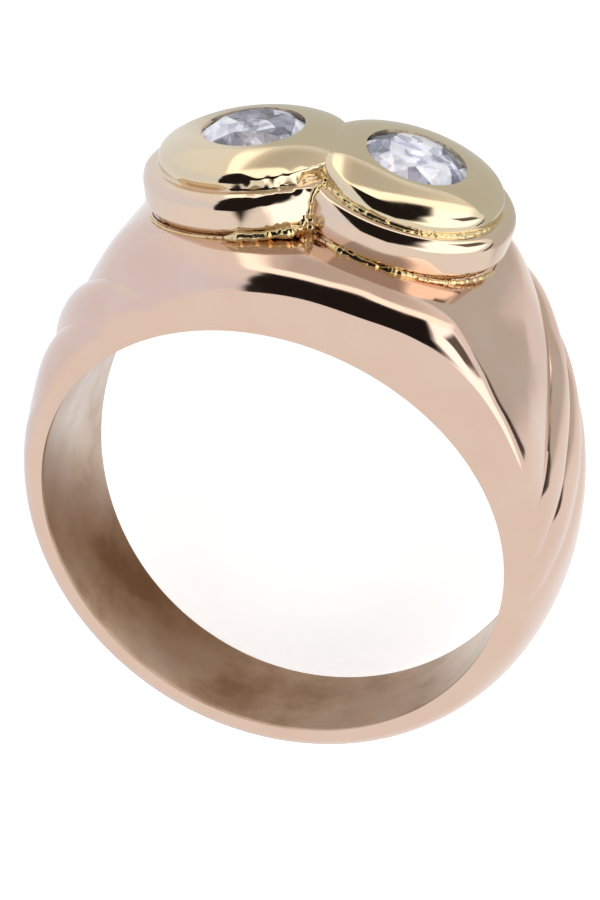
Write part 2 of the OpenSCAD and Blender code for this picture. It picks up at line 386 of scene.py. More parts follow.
HEAD_EDGE = HOLE_R + REST_HEIGHT
LAY_TILT = math.atan((half_width(HEAD_EDGE) - half_width(-HOLE_R)) / (HEAD_EDGE + HOLE_R))


def laid(points):
    """Points of the upright ring, in millimetres, laid on its side in the row frame, in metres."""
    p = np.asarray(points, float)
    turn = LAY_TILT - math.pi / 2
    c, s = math.cos(turn), math.sin(turn)
    y = p[..., 1] * c - p[..., 2] * s
    z = p[..., 1] * s + p[..., 2] * c
    return np.stack([p[..., 0], y, z], -1) * MM


def ease(a, b, x):
    """0 up to a and 1 from b, with a smooth step between."""
    t = np.clip((x - a) / (b - a), 0, 1)
    return t * t * (3 - 2 * t)


def column(c, x):
    """Smooth reading of one column of the station table, with no overshoot."""
    s = STATIONS[:, ANGLE]
    v = STATIONS[:, c]
    step = np.diff(s)
    rise = np.diff(v) / step
    both = rise[:-1] * rise[1:]
    slope = np.zeros(len(s))
    slope[1:-1] = np.where(both > 0, 2 * both / np.where(both > 0, rise[:-1] + rise[1:], 1), 0)
    i = np.clip(np.searchsorted(s, x, "right") - 1, 0, len(s) - 2)
    t = np.clip((x - s[i]) / step[i], 0, 1)
    near = (2 * t**3 - 3 * t**2 + 1) * v[i] + (t**3 - 2 * t**2 + t) * slope[i] * step[i]
    far = (3 * t**2 - 2 * t**3) * v[i + 1] + (t**3 - t**2) * slope[i + 1] * step[i]
    return near + far


def wrapped(angle):
    """The same angle between -180 and 180 degrees."""
    return (angle + 180) % 360 - 180


def turned(u, t):
    """Angle round the band of the grid line u at the share t of the half width."""
    twist = (TWIST_DEG - CURL_DEG) * t + CURL_DEG * t**3 + LEAN_DEG * t * t * np.sin(np.radians(u))
    return wrapped(u - twist)


def cut_share(u):
    """Share of the thickness that the grooves take away on the grid line u."""
    cut = np.zeros_like(u)
    for grooves, side in ((RIGHT_GROOVES, u >= 0), (LEFT_GROOVES, u < 0)):
        a = np.abs(u)
        rising = np.clip((a - grooves[0] + SHOULDER_DEG) / SHOULDER_DEG, 0, 1) ** SHOULDER_POWER
        cut = np.where(side & (a <= grooves[0]), GROOVE_DEPTHS[0] * rising, cut)
        for i in range(len(grooves) - 1):
            middle = (grooves[i] + grooves[i + 1]) / 2
            reach = (grooves[i + 1] - grooves[i]) / 2
            depth = np.where(a < middle, GROOVE_DEPTHS[i], GROOVE_DEPTHS[i + 1])
            here = side & (a > grooves[i]) & (a <= grooves[i + 1])
            cut = np.where(here, depth * (np.abs(a - middle) / reach) ** LOBE_POWER, cut)
    return cut


def groove_share(u, t):
    """Share of the thickness that is cut away at the share t of the half width."""
    fade = 1 - ease(*FADE_DEG, np.abs(u))
    whole = ease(*GROOVE_START, t * np.sign(u))
    return cut_share(u) * fade * (GROOVE_START_SHARE + (1 - GROOVE_START_SHARE) * whole)


def cover(a, t):
    """Thickness of the metal outside the hole, before the grooves."""
    s = np.where(t < 0, a, -a)
    crest = column(CREST, a)
    wall = np.minimum(column(WALL, s), crest - EDGE_MIN)
    rounded = column(ROUNDED, s)
    q = np.clip((np.abs(t) - 1 + rounded) / rounded, 0, 1)
    return wall + (crest - wall) * np.sqrt(1 - q * q)


def on_band(a, r, t):
    """Point of the upright ring at the angle a, radius r and share t of the half width there."""
    x = r * np.sin(np.radians(a))
    z = r * np.cos(np.radians(a))
    return np.stack([x, t * half_width(z), z], -1)


def skin_radius(a, u, t):
    """Distance of the band's skin from the hole's axis, grooves and all."""
    thickness = cover(a, t)
    return HOLE_R + thickness - (thickness + GROOVE_REACH) * groove_share(u, t)


def spread(a, b, n):
    """n even steps from a, up to but without b."""
    return a + (b - a) * np.arange(n) / n


def grid_lines():
    """Grid lines round the band, each groove on a line of its own."""
    right = RIGHT_GROOVES
    left = LEFT_GROOVES
    parts = [spread(-left[0], right[0], HEAD_STEPS)]
    parts += [spread(right[i], right[i + 1], LOBE_STEPS) for i in range(3)]
    parts += [spread(right[3], 360 - left[3], SHANK_STEPS)]
    parts += [spread(-left[i + 1], -left[i], LOBE_STEPS) for i in (2, 1, 0)]
    return wrapped(np.concatenate(parts))


def band_sections():
    """Closed cross-sections of the band: over the skin, down one wall, through the hole and up the other."""
    u = grid_lines()[:, None]
    t = np.sin(np.linspace(-math.pi / 2, math.pi / 2, ACROSS_STEPS + 1))[None, :]
    over = on_band(turned(u, t), skin_radius(turned(u, t), u, t), t)
    rows = [over]
    flare = math.radians(FLARE_DEG)
    for edge in (1, -1):
        te = np.full_like(u, edge)
        a = turned(u, te)
        top = skin_radius(a, u, te)
        down = np.linspace(0, 1, WALL_STEPS + 1)[None, 1:]
        corner = HOLE_R + FLARE_R * (1 - math.cos(flare))
        wall = on_band(a, top + (corner - top) * down, te)
        turn = np.linspace(flare, 0, EDGE_STEPS + 1)[None, 1:]
        lip = on_band(a, HOLE_R + FLARE_R * (1 - np.cos(turn)), te)
        lip[..., 1] -= edge * FLARE_R * (math.sin(flare) - np.sin(turn))
        side = np.concatenate([wall, lip], 1)
        rows.append(side if edge == 1 else side[:, ::-1])
    across = np.linspace(1, -1, BORE_STEPS + 1)[None, 1:-1]
    a = turned(u, across)
    bore = on_band(a, np.full_like(a, HOLE_R), across)
    rim = half_width(HOLE_R * np.cos(np.radians(a)))
    bore[..., 1] = across * (rim - FLARE_R * math.sin(flare))
    return np.concatenate([rows[0], rows[1], bore, rows[2]], 1)


def new_object(name, points, faces, smooth=True):
    """Mesh object of the given points, in metres, and faces."""
    mesh = bpy.data.meshes.new(name)
    mesh.from_pydata([tuple(p) for p in points], [], [tuple(f) for f in faces], shade_flat=not smooth)
    mesh.validate()
    mesh.update()
    obj = bpy.data.objects.new(name, mesh)
    bpy.context.scene.collection.objects.link(obj)
    return obj


def loop_faces(n, m, closed_m=True):
    """Quads of n rows of m points, numbered row by row; the last row joins the first."""
    i, j = np.meshgrid(np.arange(n), np.arange(m if closed_m else m - 1), indexing="ij")
    row = (i + 1) % n
    point = (j + 1) % m
    return np.stack([i * m + j, i * m + point, row * m + point, row * m + j], -1).reshape(-1, 4)


def closed_faces(n, m):
    """Outward faces of n meridians of m points, row by row, then the first pole and the last. The meridians
    follow each other anticlockwise, seen from the last pole."""
    faces = [tuple(f)[::-1] for f in loop_faces(n, m, closed_m=False)]
    for i in range(n):
        k = (i + 1) % n
        faces.append((k * m, i * m, n * m))
        faces.append((i * m + m - 1, k * m + m - 1, n * m + 1))
    return faces


def combine(obj, other, operation):
    """Boolean of two closed meshes; the other object is used up."""
    tool = obj.modifiers.new(operation.lower(), "BOOLEAN")
    tool.operation = operation
    tool.object = other
    tool.solver = "EXACT"
    view = bpy.context.evaluated_depsgraph_get()
    result = bpy.data.meshes.new_from_object(obj.evaluated_get(view))
    obj.modifiers.remove(tool)
    spare = obj.data
    obj.data = result
    bpy.data.meshes.remove(spare)
    bpy.data.objects.remove(other)
    return obj


def at_seat(points, side):
    """Points given from a bezel's seat, placed in the upright ring."""
    p = np.asarray(points, float)
    lean = math.radians(side * BEZEL_LEAN)
    x = p[..., 0] * math.cos(lean) + p[..., 2] * math.sin(lean)
    z = -p[..., 0] * math.sin(lean) + p[..., 2] * math.cos(lean)
    return np.stack([x + side * BEZEL_OFFSET, p[..., 1] + side * BEZEL_STAGGER, z + SEAT_HEIGHT], -1)


def from_seat(points, side):
    """Points of the upright ring, seen from a bezel's seat."""
    p = np.asarray(points, float) - (side * BEZEL_OFFSET, side * BEZEL_STAGGER, SEAT_HEIGHT)
    lean = math.radians(side * BEZEL_LEAN)
    x = p[..., 0] * math.cos(lean) - p[..., 2] * math.sin(lean)
    z = p[..., 0] * math.sin(lean) + p[..., 2] * math.cos(lean)
    return np.stack([x, p[..., 1], z], -1)


def lathe(name, profile, side):
    """Closed body round a bezel's axis from (radius, height) pairs that start and end on it, or from one
    such row of pairs for each angle round the axis."""
    rows = np.array(profile, float)
    if rows.ndim == 2:
        rows = np.repeat(rows[None], LATHE_STEPS, 0)
    n = len(rows)
    angle = spread(0, math.tau, n)
    inner = rows[:, 1:-1]
    m = inner.shape[1]
    ring = np.stack([
        np.cos(angle)[:, None] * inner[..., 0],
        np.sin(angle)[:, None] * inner[..., 0],
        inner[..., 1],
    ], -1)
    points = np.concatenate([ring.reshape(-1, 3), [(0, 0, rows[0, 0, 1]), (0, 0, rows[0, -1, 1])]])
    return new_object(name, laid(at_seat(points, side)), closed_faces(n, m))


def arc(centre, radius, start, end, steps):
    """Points of an arc in a profile; its angles are counted from the outward direction."""
    angle = np.radians(np.linspace(start, end, steps + 1))
    return [(centre[0] + radius * math.cos(a), centre[1] + radius * math.sin(a)) for a in angle]


def bezel_profile(tier_round_r=TIER_ROUND_R, dome_r=DOME_R, dome_round_r=DOME_ROUND_R):
    """Foot, wide lower tier with a rounded shoulder, filled crease, upper tier and its gently domed face."""
    base = (TIER_R - TIER_BASE_R, FOOT_TOP + TIER_BASE_R)
    tier_round_r = min(tier_round_r, TIER_R - dome_r - CREASE_R - LEDGE_MIN)
    shoulder = (TIER_R - tier_round_r, TIER_TOP - tier_round_r)
    slope = math.radians(FACE_SLOPE)
    reach = FACE_ROUND_R - DOME_ROUND_R
    face = (DOME_R - DOME_ROUND_R - reach * math.sin(slope), DOME_WALL_TOP - reach * math.cos(slope))
    turn_x = dome_r - dome_round_r
    turn_y = face[1] + math.sqrt((FACE_ROUND_R - dome_round_r) ** 2 - (turn_x - face[0]) ** 2)
    meets = math.degrees(math.atan2(turn_y - face[1], turn_x - face[0]))
    foot_meets = -math.degrees(math.acos((FOOT_R - base[0]) / TIER_BASE_R))
    lip_meets = math.degrees(math.acos((LIP_R - FACE_PAST_LIP - face[0]) / FACE_ROUND_R))
    return [(0, -FOOT_DEPTH), (FOOT_R, -FOOT_DEPTH),
            *arc(base, TIER_BASE_R, foot_meets, 0, BASE_STEPS),
            *arc(shoulder, tier_round_r, 0, 90, SHOULDER_STEPS),
            *arc((dome_r + CREASE_R, TIER_TOP + CREASE_R), CREASE_R, 270, 180, CREASE_STEPS),
            *arc((turn_x, turn_y), dome_round_r, 0, meets, DOME_STEPS),
            *arc(face, FACE_ROUND_R, meets, lip_meets, FACE_STEPS)[1:],
            (0, face[1] + FACE_ROUND_R)]


def window(angle, start, end, soft):
    """1 between two angles and 0 outside, with soft ends."""
    return ease(start - soft, start + soft, angle) * (1 - ease(end - soft, end + soft, angle))


def bezel_profiles(side):
    """The bezel's profile at each angle round its axis. At the front of the left bezel the lower tier is
    worn rounder, and solder widens the upper tier and roughens it, beyond a short gouge in the crease."""
    angle = wrapped(spread(0, 360, BEZEL_STEPS))
    filled = window(angle, *FILLED_DEG) * (side < 0)
    gouged = window(angle, *GOUGED_DEG) * (side < 0)
    worn = window(angle, *WORN_DEG) * (side < 0) * (1 - WORN_HIDDEN * filled)
    rows = np.array([bezel_profile(TIER_ROUND_R + (WORN_ROUND_R - TIER_ROUND_R) * v,
                                   DOME_R + (FILLED_R - DOME_R) * w,
                                   DOME_ROUND_R + (FILLED_ROUND_R - DOME_ROUND_R) * w)
                     for v, w in zip(worn, filled)])
    radius, height = rows[..., 0], rows[..., 1]
    off_crease = ((radius - DOME_R) / GOUGE_SPREAD) ** 2 + ((height - TIER_TOP) / GOUGE_SPREAD) ** 2
    crease = np.exp(-off_crease)
    ring = [(FOOT_R * math.cos(a), FOOT_R * math.sin(a)) for a in np.radians(angle)]
    rough = np.array([[noise.noise(Vector((x, y, z)) * FILL_GRAIN) for z in row]
                      for (x, y), row in zip(ring, height)])
    strip = np.exp(-((height - TIER_TOP - FILL_HEIGHT) / FILL_SPREAD) ** 2) * (radius > DOME_R - FILL_INSIDE)
    gouge = GOUGE_DEPTH * crease * gouged[:, None]
    rows[..., 0] += FILL_ROUGH * rough * strip * filled[:, None] - gouge
    rows[..., 1] -= gouge
    return rows


def seat_profile():
    """Hollow in a bezel: open core, cone under the stone, recess for its girdle and overhanging lip."""
    cone_drop = (RECESS_R - CORE_R) * PAVILION_SLOPE
    under = GIRDLE_HEIGHT - FIT_GAP
    below = -FOOT_DEPTH - CUT_PAST
    lip_drop = (RECESS_R - LIP_R) * CROWN_SLOPE
    return [(0, below), (CORE_R, below), (CORE_R, under - cone_drop), (RECESS_R, under),
            (RECESS_R, LIP_EDGE_H - lip_drop), (LIP_R, LIP_EDGE_H), (LIP_R, ABOVE_LIP), (0, ABOVE_LIP)]


def cylinder_profile(radius, low, high):
    """Plain cylinder between two heights."""
    return [(0, low), (radius, low), (radius, high), (0, high)]


def pocket_profile():
    """Pocket in the band for a bezel's foot, widening under the overhang of its tier."""
    floor = -FOOT_DEPTH - FIT_GAP
    ledge = FOOT_TOP - FIT_GAP
    return [(0, floor), (FOOT_R + FIT_GAP, floor), (FOOT_R + FIT_GAP, ledge),
            (TIER_R + FIT_GAP, ledge), (TIER_R + FIT_GAP, ABOVE_LIP), (0, ABOVE_LIP)]


def make_band():
    """The cast band, with a pocket for each bezel's foot and a light hole under each stone."""
    sections = band_sections()
    n, m = sections.shape[:2]
    band = new_object("cast_band", laid(sections.reshape(-1, 3)), loop_faces(n, m))
    for name, side in SIDES.items():
        combine(band, lathe(f"pocket_{name}", pocket_profile(), side), "DIFFERENCE")
        light_hole = lathe(f"light_hole_{name}", cylinder_profile(CORE_R, -SEAT_HEIGHT / 2, 0), side)
        combine(band, light_hole, "DIFFERENCE")
    return band


def make_bezels():
    """Both bezels as one solid, each with its stone's seat cut out."""
    blanks = [lathe(f"blank_{name}", bezel_profiles(side), side) for name, side in SIDES.items()]
    pair = combine(blanks[0], blanks[1], "UNION")
    for name, side in SIDES.items():
        combine(pair, lathe(f"seat_{name}", seat_profile(), side), "DIFFERENCE")
    pair.name = "soldered_bezels"
    pair.data.name = "soldered_bezels"
    return pair


def outer_radius(height):
    """Radius of a bezel at a height above its seat, where its two tiers' walls count alone."""
    rows = [(r, h) for r, h in bezel_profile()[1:-1] if r > LIP_R]
    radii, heights = np.array(rows).T
    order = np.argsort(heights, kind="stable")
    return np.interp(height, heights[order], radii[order])


def notch_point(height, end):
    """Point where the two bezels' walls meet at a height above the ring's centre, at the front (end = -1)
    or at the back (end = 1)."""
    x = 0.0
    y = NOTCH_START * end

    def misfit(x, y):
        seen = [from_seat((x, y, height), side) for side in SIDES.values()]
        return np.array([math.hypot(p[0], p[1]) - outer_radius(p[2]) for p in seen])

    for _ in range(NOTCH_ROUNDS):
        f = misfit(x, y)
        along_x = (misfit(x + NOTCH_PROBE, y) - f) / NOTCH_PROBE
        along_y = (misfit(x, y + NOTCH_PROBE) - f) / NOTCH_PROBE
        dx, dy = np.linalg.solve(np.stack([along_x, along_y], -1), -f)
        x += np.clip(dx, -NOTCH_STRIDE, NOTCH_STRIDE)
        y += np.clip(dy, -NOTCH_STRIDE, NOTCH_STRIDE)
    return np.array([x, y, height])


def smooth_noise(x, y, z):
    return noise.noise(Vector((x, y, z)))


def strand(name, path, width, ripple, seed, squash=1.0):
    """Run of solder along a path in the upright ring: a closed tube whose half width swells and shrinks
    into lumps, rough all over. Its ends taper away."""
    path = np.asarray(path, float)
    step = np.linalg.norm(np.diff(path, axis=0), axis=1)
    run = np.concatenate([[0], np.cumsum(step)])
    n = max(STRAND_MIN_STEPS, int(run[-1] / STRAND_STEP))
    at = np.linspace(0, run[-1], n)
    centre = np.stack([np.interp(at, run, path[:, k]) for k in range(3)], -1)
    ahead = np.gradient(centre, axis=0)
    ahead /= np.linalg.norm(ahead, axis=1)[:, None]
    out = centre * (1, 0, 0) + (0, 0, 1)
    out -= (out * ahead).sum(1)[:, None] * ahead
    out /= np.linalg.norm(out, axis=1)[:, None]
    side = np.cross(ahead, out)
    taper = np.sqrt(np.clip(np.minimum(at, run[-1] - at) / (STRAND_TAPER * width), STRAND_TIP, 1))
    lumps = np.array([smooth_noise(a / (STRAND_LUMP * width), seed, 0.0)
                      + STRAND_SMALL * smooth_noise(a / (STRAND_SMALL_LUMP * width), seed, 5.0) for a in at])
    wander = np.array([[smooth_noise(a / WANDER_LENGTH, seed, 10.0 + k) for k in (0, 1)] for a in at])
    radius = width * taper * (1 + ripple * lumps)
    centre += STRAND_WANDER * width * (wander[:, :1] * out + wander[:, 1:] * side)
    rings = []
    for turn in spread(0, math.tau, STRAND_SIDES):
        spoke = math.cos(turn) * out * squash + math.sin(turn) * side
        point = centre + radius[:, None] * spoke
        rough = np.array([noise.noise(Vector(q * STRAND_GRAIN) + Vector((0, 0, seed))) for q in point])
        rings.append(centre + (radius * (1 + STRAND_ROUGH * ripple * rough))[:, None] * spoke)
    points = np.concatenate([*rings, [centre[0], centre[-1]]])
    return new_object(name, laid(points), closed_faces(STRAND_SIDES, n))


def lump(name, centre, size, ripple, seed):
    """Blob of solder: a ball stretched to its three half sizes and dented by a smooth noise."""
    n = LUMP_SIDES
    m = LUMP_RINGS
    around = spread(0, math.tau, n)
    down = np.linspace(0, math.pi, m + 2)[1:-1]
    unit = np.stack([
        np.outer(np.cos(around), np.sin(down)),
        np.outer(np.sin(around), np.sin(down)),
        np.tile(np.cos(down), (n, 1)),
    ], -1).reshape(-1, 3)
    unit = np.concatenate([unit, [(0, 0, 1), (0, 0, -1)]])
    broad = Vector((seed, 0, 0))
    fine = Vector((0, seed, 0))
    grow = np.array([1 + ripple * noise.noise(Vector(q * LUMP_BROAD) + broad)
                     + LUMP_FINE * ripple * noise.noise(Vector(q * LUMP_FINE_GRAIN) + fine) for q in unit])
    points = np.array(centre) + unit * grow[:, None] * np.array(size)
    # these meridians run down, so the faces turn over
    return new_object(name, laid(points), [f[::-1] for f in closed_faces(n, m)])


def round_seat(side, start, end, radius, height, steps=60):
    """Path round a bezel's axis between two angles, in the upright ring. Its radius and height, given for
    both ends, change evenly."""
    angle = np.radians(np.linspace(start, end, steps))
    share = np.linspace(0, 1, steps)
    r = radius[0] + (radius[1] - radius[0]) * share
    h = height[0] + (height[1] - height[0]) * share
    return at_seat(np.stack([r * np.cos(angle), r * np.sin(angle), h], -1), side)


def make_solder():
    """Solder as it was left: ridges in the notch between the bezels, a lump below them, and runs in a
    crease and along the feet. The back has the same, turned round."""
    pieces = []
    for word, end in ENDS.items():
        notch = np.array([notch_point(z, end) for z in np.linspace(*NOTCH_HEIGHTS, NOTCH_STEPS)])
        for part, shift, width, ripple, seed in RIDGES:
            pieces.append(strand(f"{part}_{word}", notch + shift, width, ripple, seed))
        place = (LUMP_AT[0] * end, LUMP_AT[1] * end, LUMP_AT[2])
        pieces.append(lump(f"lump_{word}", place, LUMP_SIZE, LUMP_RIPPLE, LUMP_SEED + end))
        turn = 0.0 if end < 0 else 180.0
        for part, bezel, angles, radius, height, width, ripple, seed, squash in RUNS:
            side = -end * SIDES[bezel]
            path = round_seat(side, angles[0] + turn, angles[1] + turn, radius, height)
            pieces.append(strand(f"{part}_{word}", path, width, ripple, seed, squash))
    return pieces


def circle_of(radius, height, shift, n=STONE_SIDES):
    """Points of a circle in a stone, the first one turned by a share of a side."""
    angles = [(i + shift) * math.tau / n for i in range(n)]
    return [(radius * math.cos(a), radius * math.sin(a), height) for a in angles]


def make_stone(name, side):
    """Round brilliant: table, star, kite and girdle facets above, girdle and long main facets below."""
    n = STONE_SIDES
    half_turn = math.pi / n
    star_z = GIRDLE_H + CROWN_SLOPE * (STONE_R - STAR_R * math.cos(half_turn))
    lower_z = -PAVILION_SLOPE * (STONE_R - LOWER_R * math.cos(half_turn))
    points = np.array(
        circle_of(TABLE_R, GIRDLE_H + CROWN_H, 0) + circle_of(STAR_R, star_z, 0.5)
        + circle_of(STONE_R, GIRDLE_H, 0, 2 * n) + circle_of(STONE_R, 0, 0, 2 * n)
        + circle_of(LOWER_R, lower_z, 0.5) + [(0, 0, -PAVILION_H)])
    # where each ring of points starts, and the tip
    star, top, low, pavilion, tip = n, 2 * n, 4 * n, 6 * n, 7 * n
    faces = [tuple(range(n))]
    for i in range(n):
        after, before = (i + 1) % n, (i - 1) % n
        g, g2 = top + 2 * i, top + 2 * after
        b, b2 = low + 2 * i, low + 2 * after
        faces += [(i, star + i, after), (i, star + before, g, star + i)]
        faces += [(star + i, g, g + 1), (star + i, g + 1, g2)]
        faces += [(g, b, b + 1, g + 1), (g + 1, b + 1, b2, g2)]
        faces += [(pavilion + i, b + 1, b), (pavilion + i, b2, b + 1)]
        faces += [(tip, pavilion + i, b, pavilion + before)]
    turn = side * half_turn / 2
    c = math.cos(turn)
    s = math.sin(turn)
    x, y, z = points.T
    points = np.stack([x * c - y * s, x * s + y * c, z + GIRDLE_HEIGHT], -1)
    return new_object(f"brilliant_{name}", laid(at_seat(points, side)), faces, smooth=False)


# a mix node's sockets for colours: share, first and second colour, and the result
MIX_INPUTS = (0, 6, 7)
MIX_OUTPUT = 2


class Graph:
    """Shader nodes of one material or world. A value is a node's output or a plain number or colour."""

    def __init__(self, tree):
        self.nodes = tree.nodes
        self.links = tree.links

    def feed(self, socket, value):
        """Links a value to a socket, or sets it on the socket."""
        if hasattr(value, "is_linked"):
            self.links.new(value, socket)
        else:
            socket.default_value = value

    def add(self, kind, *values):
        """New shader node whose first sockets take the values in turn."""
        node = self.nodes.new("ShaderNode" + kind)
        for socket, value in zip(node.inputs, values):
            self.feed(socket, value)
        return node

    def maths(self, operation, *values):
        node = self.add("Math", *values)
        node.operation = operation
        return node.outputs["Value"]

    def vector_maths(self, operation, *values):
        node = self.add("VectorMath", *values)
        node.operation = operation
        return node.outputs

    def dot(self, vector, axis):
        return self.vector_maths("DOT_PRODUCT", vector, tuple(axis))["Value"]

    def both(self, *values):
        """Product of the values."""
        total = values[0]
        for value in values[1:]:
            total = self.maths("MULTIPLY", total, value)
        return total

    def unless(self, value):
        return self.maths("SUBTRACT", 1.0, value)

    def remap(self, value, a, b, low, high, kind="SMOOTHSTEP"):
        """Step from low at a to high at b."""
        node = self.add("MapRange", value, a, b, low, high)
        node.interpolation_type = kind
        return node.outputs["Result"]

    def mix(self, share, a, b):
        """Colour a where the share is 0 and b where it is 1."""
        node = self.add("Mix")
        node.data_type = "RGBA"
        for index, value in zip(MIX_INPUTS, (share, a, b)):
            self.feed(node.inputs[index], value)
        return node.outputs[MIX_OUTPUT]

    def ramp(self, value, stops):
        """Colours along a value: stops are (place, colour) pairs."""
        node = self.add("ValToRGB", value)
        cells = node.color_ramp.elements
        while len(cells) < len(stops):
            cells.new(0.5)
        for cell, (place, colour) in zip(cells, stops):
            cell.position = place
            cell.color = (*colour, 1)
        return node.outputs["Color"]

    def grain(self, where, scale, detail, stretch=(1, 1, 1), roughness=0.5):
        """Cloudy pattern with this many repeats per metre."""
        mapping = self.add("Mapping", where)
        mapping.inputs["Scale"].default_value = [scale * k for k in stretch]
        tex = self.add("TexNoise", mapping.outputs["Vector"])
        tex.inputs["Scale"].default_value = 1.0
        tex.inputs["Detail"].default_value = detail
        tex.inputs["Roughness"].default_value = roughness
        return tex.outputs["Fac"]

    def bump(self, height, strength, distance, normal=None):
        """Bumps of a pattern, on top of another bump where one is given."""
        node = self.add("Bump", strength, distance)
        self.links.new(height, node.inputs["Height"])
        if normal:
            self.links.new(normal, node.inputs["Normal"])
        return node.outputs["Normal"]


def principled(name):
    """New material, with its graph, its shader and the place on the piece in metres."""
    mat = bpy.data.materials.new(name)
    mat.use_nodes = True
    graph = Graph(mat.node_tree)
    shader = graph.nodes["Principled BSDF"]
    where = graph.add("TexCoord").outputs["Object"]
    return mat, graph, shader, where


def grey(level):
    return (level, level, level, 1.0)


def gold(name, tones, polish, low_tier=None, bore=None):
    """Polished gold: a slow change of tone, patches of finer and coarser polish, and fine scratches. The
    bezels' lower tiers may have a tone of their own, and the finger hole's wall may be scuffed and
    painted brown as shade."""
    mat, graph, shader, where = principled(name)
    shader.inputs["Metallic"].default_value = 1.0
    colour = graph.ramp(graph.grain(where, *TONE_GRAIN), list(zip(TONE_AT, tones)))
    levels = [[level] * 3 for level in polish]
    rough = graph.ramp(graph.grain(where, *POLISH_GRAIN), list(zip(POLISH_AT, levels)))
    if low_tier:
        colour = graph.mix(low_on_bezel(graph, where), colour, (*low_tier, 1.0))
    # painted brown shade on the finger hole's wall, with a rougher polish there
    if bore:
        inside = bore_mask(graph, where)
        cloud = graph.grain(where, *BORE_GRAIN, roughness=BORE_CLOUD)
        colour = graph.mix(inside, colour, graph.ramp(cloud, list(zip(BORE_AT, bore))))
        rough = graph.mix(inside, rough, grey(BORE_ROUGH))
    graph.links.new(colour, shader.inputs["Base Color"])
    graph.links.new(rough, shader.inputs["Roughness"])
    scratches = graph.bump(graph.grain(where, *SCRATCH_GRAIN, SCRATCH_STRETCH), *SCRATCH_BUMP)
    waves = graph.bump(graph.grain(where, *WAVE_GRAIN), *WAVE_BUMP, scratches)
    graph.links.new(waves, shader.inputs["Normal"])
    return mat


def low_on_bezel(graph, where):
    """1 on the bezels' lower tiers and 0 on their upper ones, by the height above the seats."""
    lean = math.radians(BEZEL_LEAN)
    upright = graph.dot(where, laid((0, 0, math.cos(lean))) / MM)
    aside = graph.maths("ABSOLUTE", graph.add("SeparateXYZ", where).outputs["X"])
    height = graph.maths("MULTIPLY_ADD", aside, math.sin(lean), upright)
    seat = (SEAT_HEIGHT * math.cos(lean) + BEZEL_OFFSET * math.sin(lean)) * MM
    start, end = [seat + h * MM for h in LOW_TIER_END]
    return graph.remap(height, start, end, 1.0, 0.0)


def bore_mask(graph, where):
    """1 on the wall of the finger hole and 0 elsewhere, by the distance from the hole's axis."""
    axis = laid((0, 1.0, 0)) / MM
    cross = graph.vector_maths("CROSS_PRODUCT", where, tuple(axis))["Vector"]
    distance = graph.vector_maths("LENGTH", cross)["Value"]
    start, end = [(HOLE_R + past) * MM for past in BORE_END]
    return graph.remap(distance, start, end, 1.0, 0.0)


def brilliant_material():
    """Brilliant with painted reflections: clear facets mixed with glowing patches from nearly black to a
    pale lavender, and painted shade darker towards the far rim."""
    mat, graph, shader, where = principled("diamond")
    layers = []
    for scale, weight in PATCHES:
        cells = graph.add("TexVoronoi", where)
        cells.inputs["Scale"].default_value = scale
        shade = graph.add("SeparateColor", cells.outputs["Color"]).outputs["Red"]
        layers.append(graph.maths("MULTIPLY", shade, weight))
    colour = graph.ramp(graph.maths("ADD", *layers), PAINTED_REFLECTION_SHADES)
    in_box = graph.add("TexCoord").outputs["Generated"]
    height = graph.add("SeparateXYZ", in_box).outputs["Z"]
    # painted shade towards the far rim
    colour = graph.mix(graph.remap(height, *RIM_HEIGHTS, RIM_SHARE, 0.0), colour, PAINTED_RIM_SHADE)
    graph.links.new(colour, shader.inputs["Base Color"])
    # the painted reflections glow as well
    graph.links.new(colour, shader.inputs["Emission Color"])
    shader.inputs["Emission Strength"].default_value = STONE_PAINTED_GLOW
    shader.inputs["Transmission Weight"].default_value = STONE_CLEAR
    shader.inputs["IOR"].default_value = STONE_IOR
    shader.inputs["Roughness"].default_value = 0.0
    return mat


def paper():
    """White paper, lit through from below so that it stays plain round the ring."""
    mat, graph, shader, where = principled("pale_paper")
    shade = graph.ramp(graph.grain(where, *PAPER_GRAIN), PAPER_SHADES)
    graph.links.new(shade, shader.inputs["Base Color"])
    graph.links.new(shade, shader.inputs["Emission Color"])
    shader.inputs["Emission Strength"].default_value = PAPER_GLOW
    shader.inputs["Roughness"].default_value = PAPER_ROUGH
    return mat


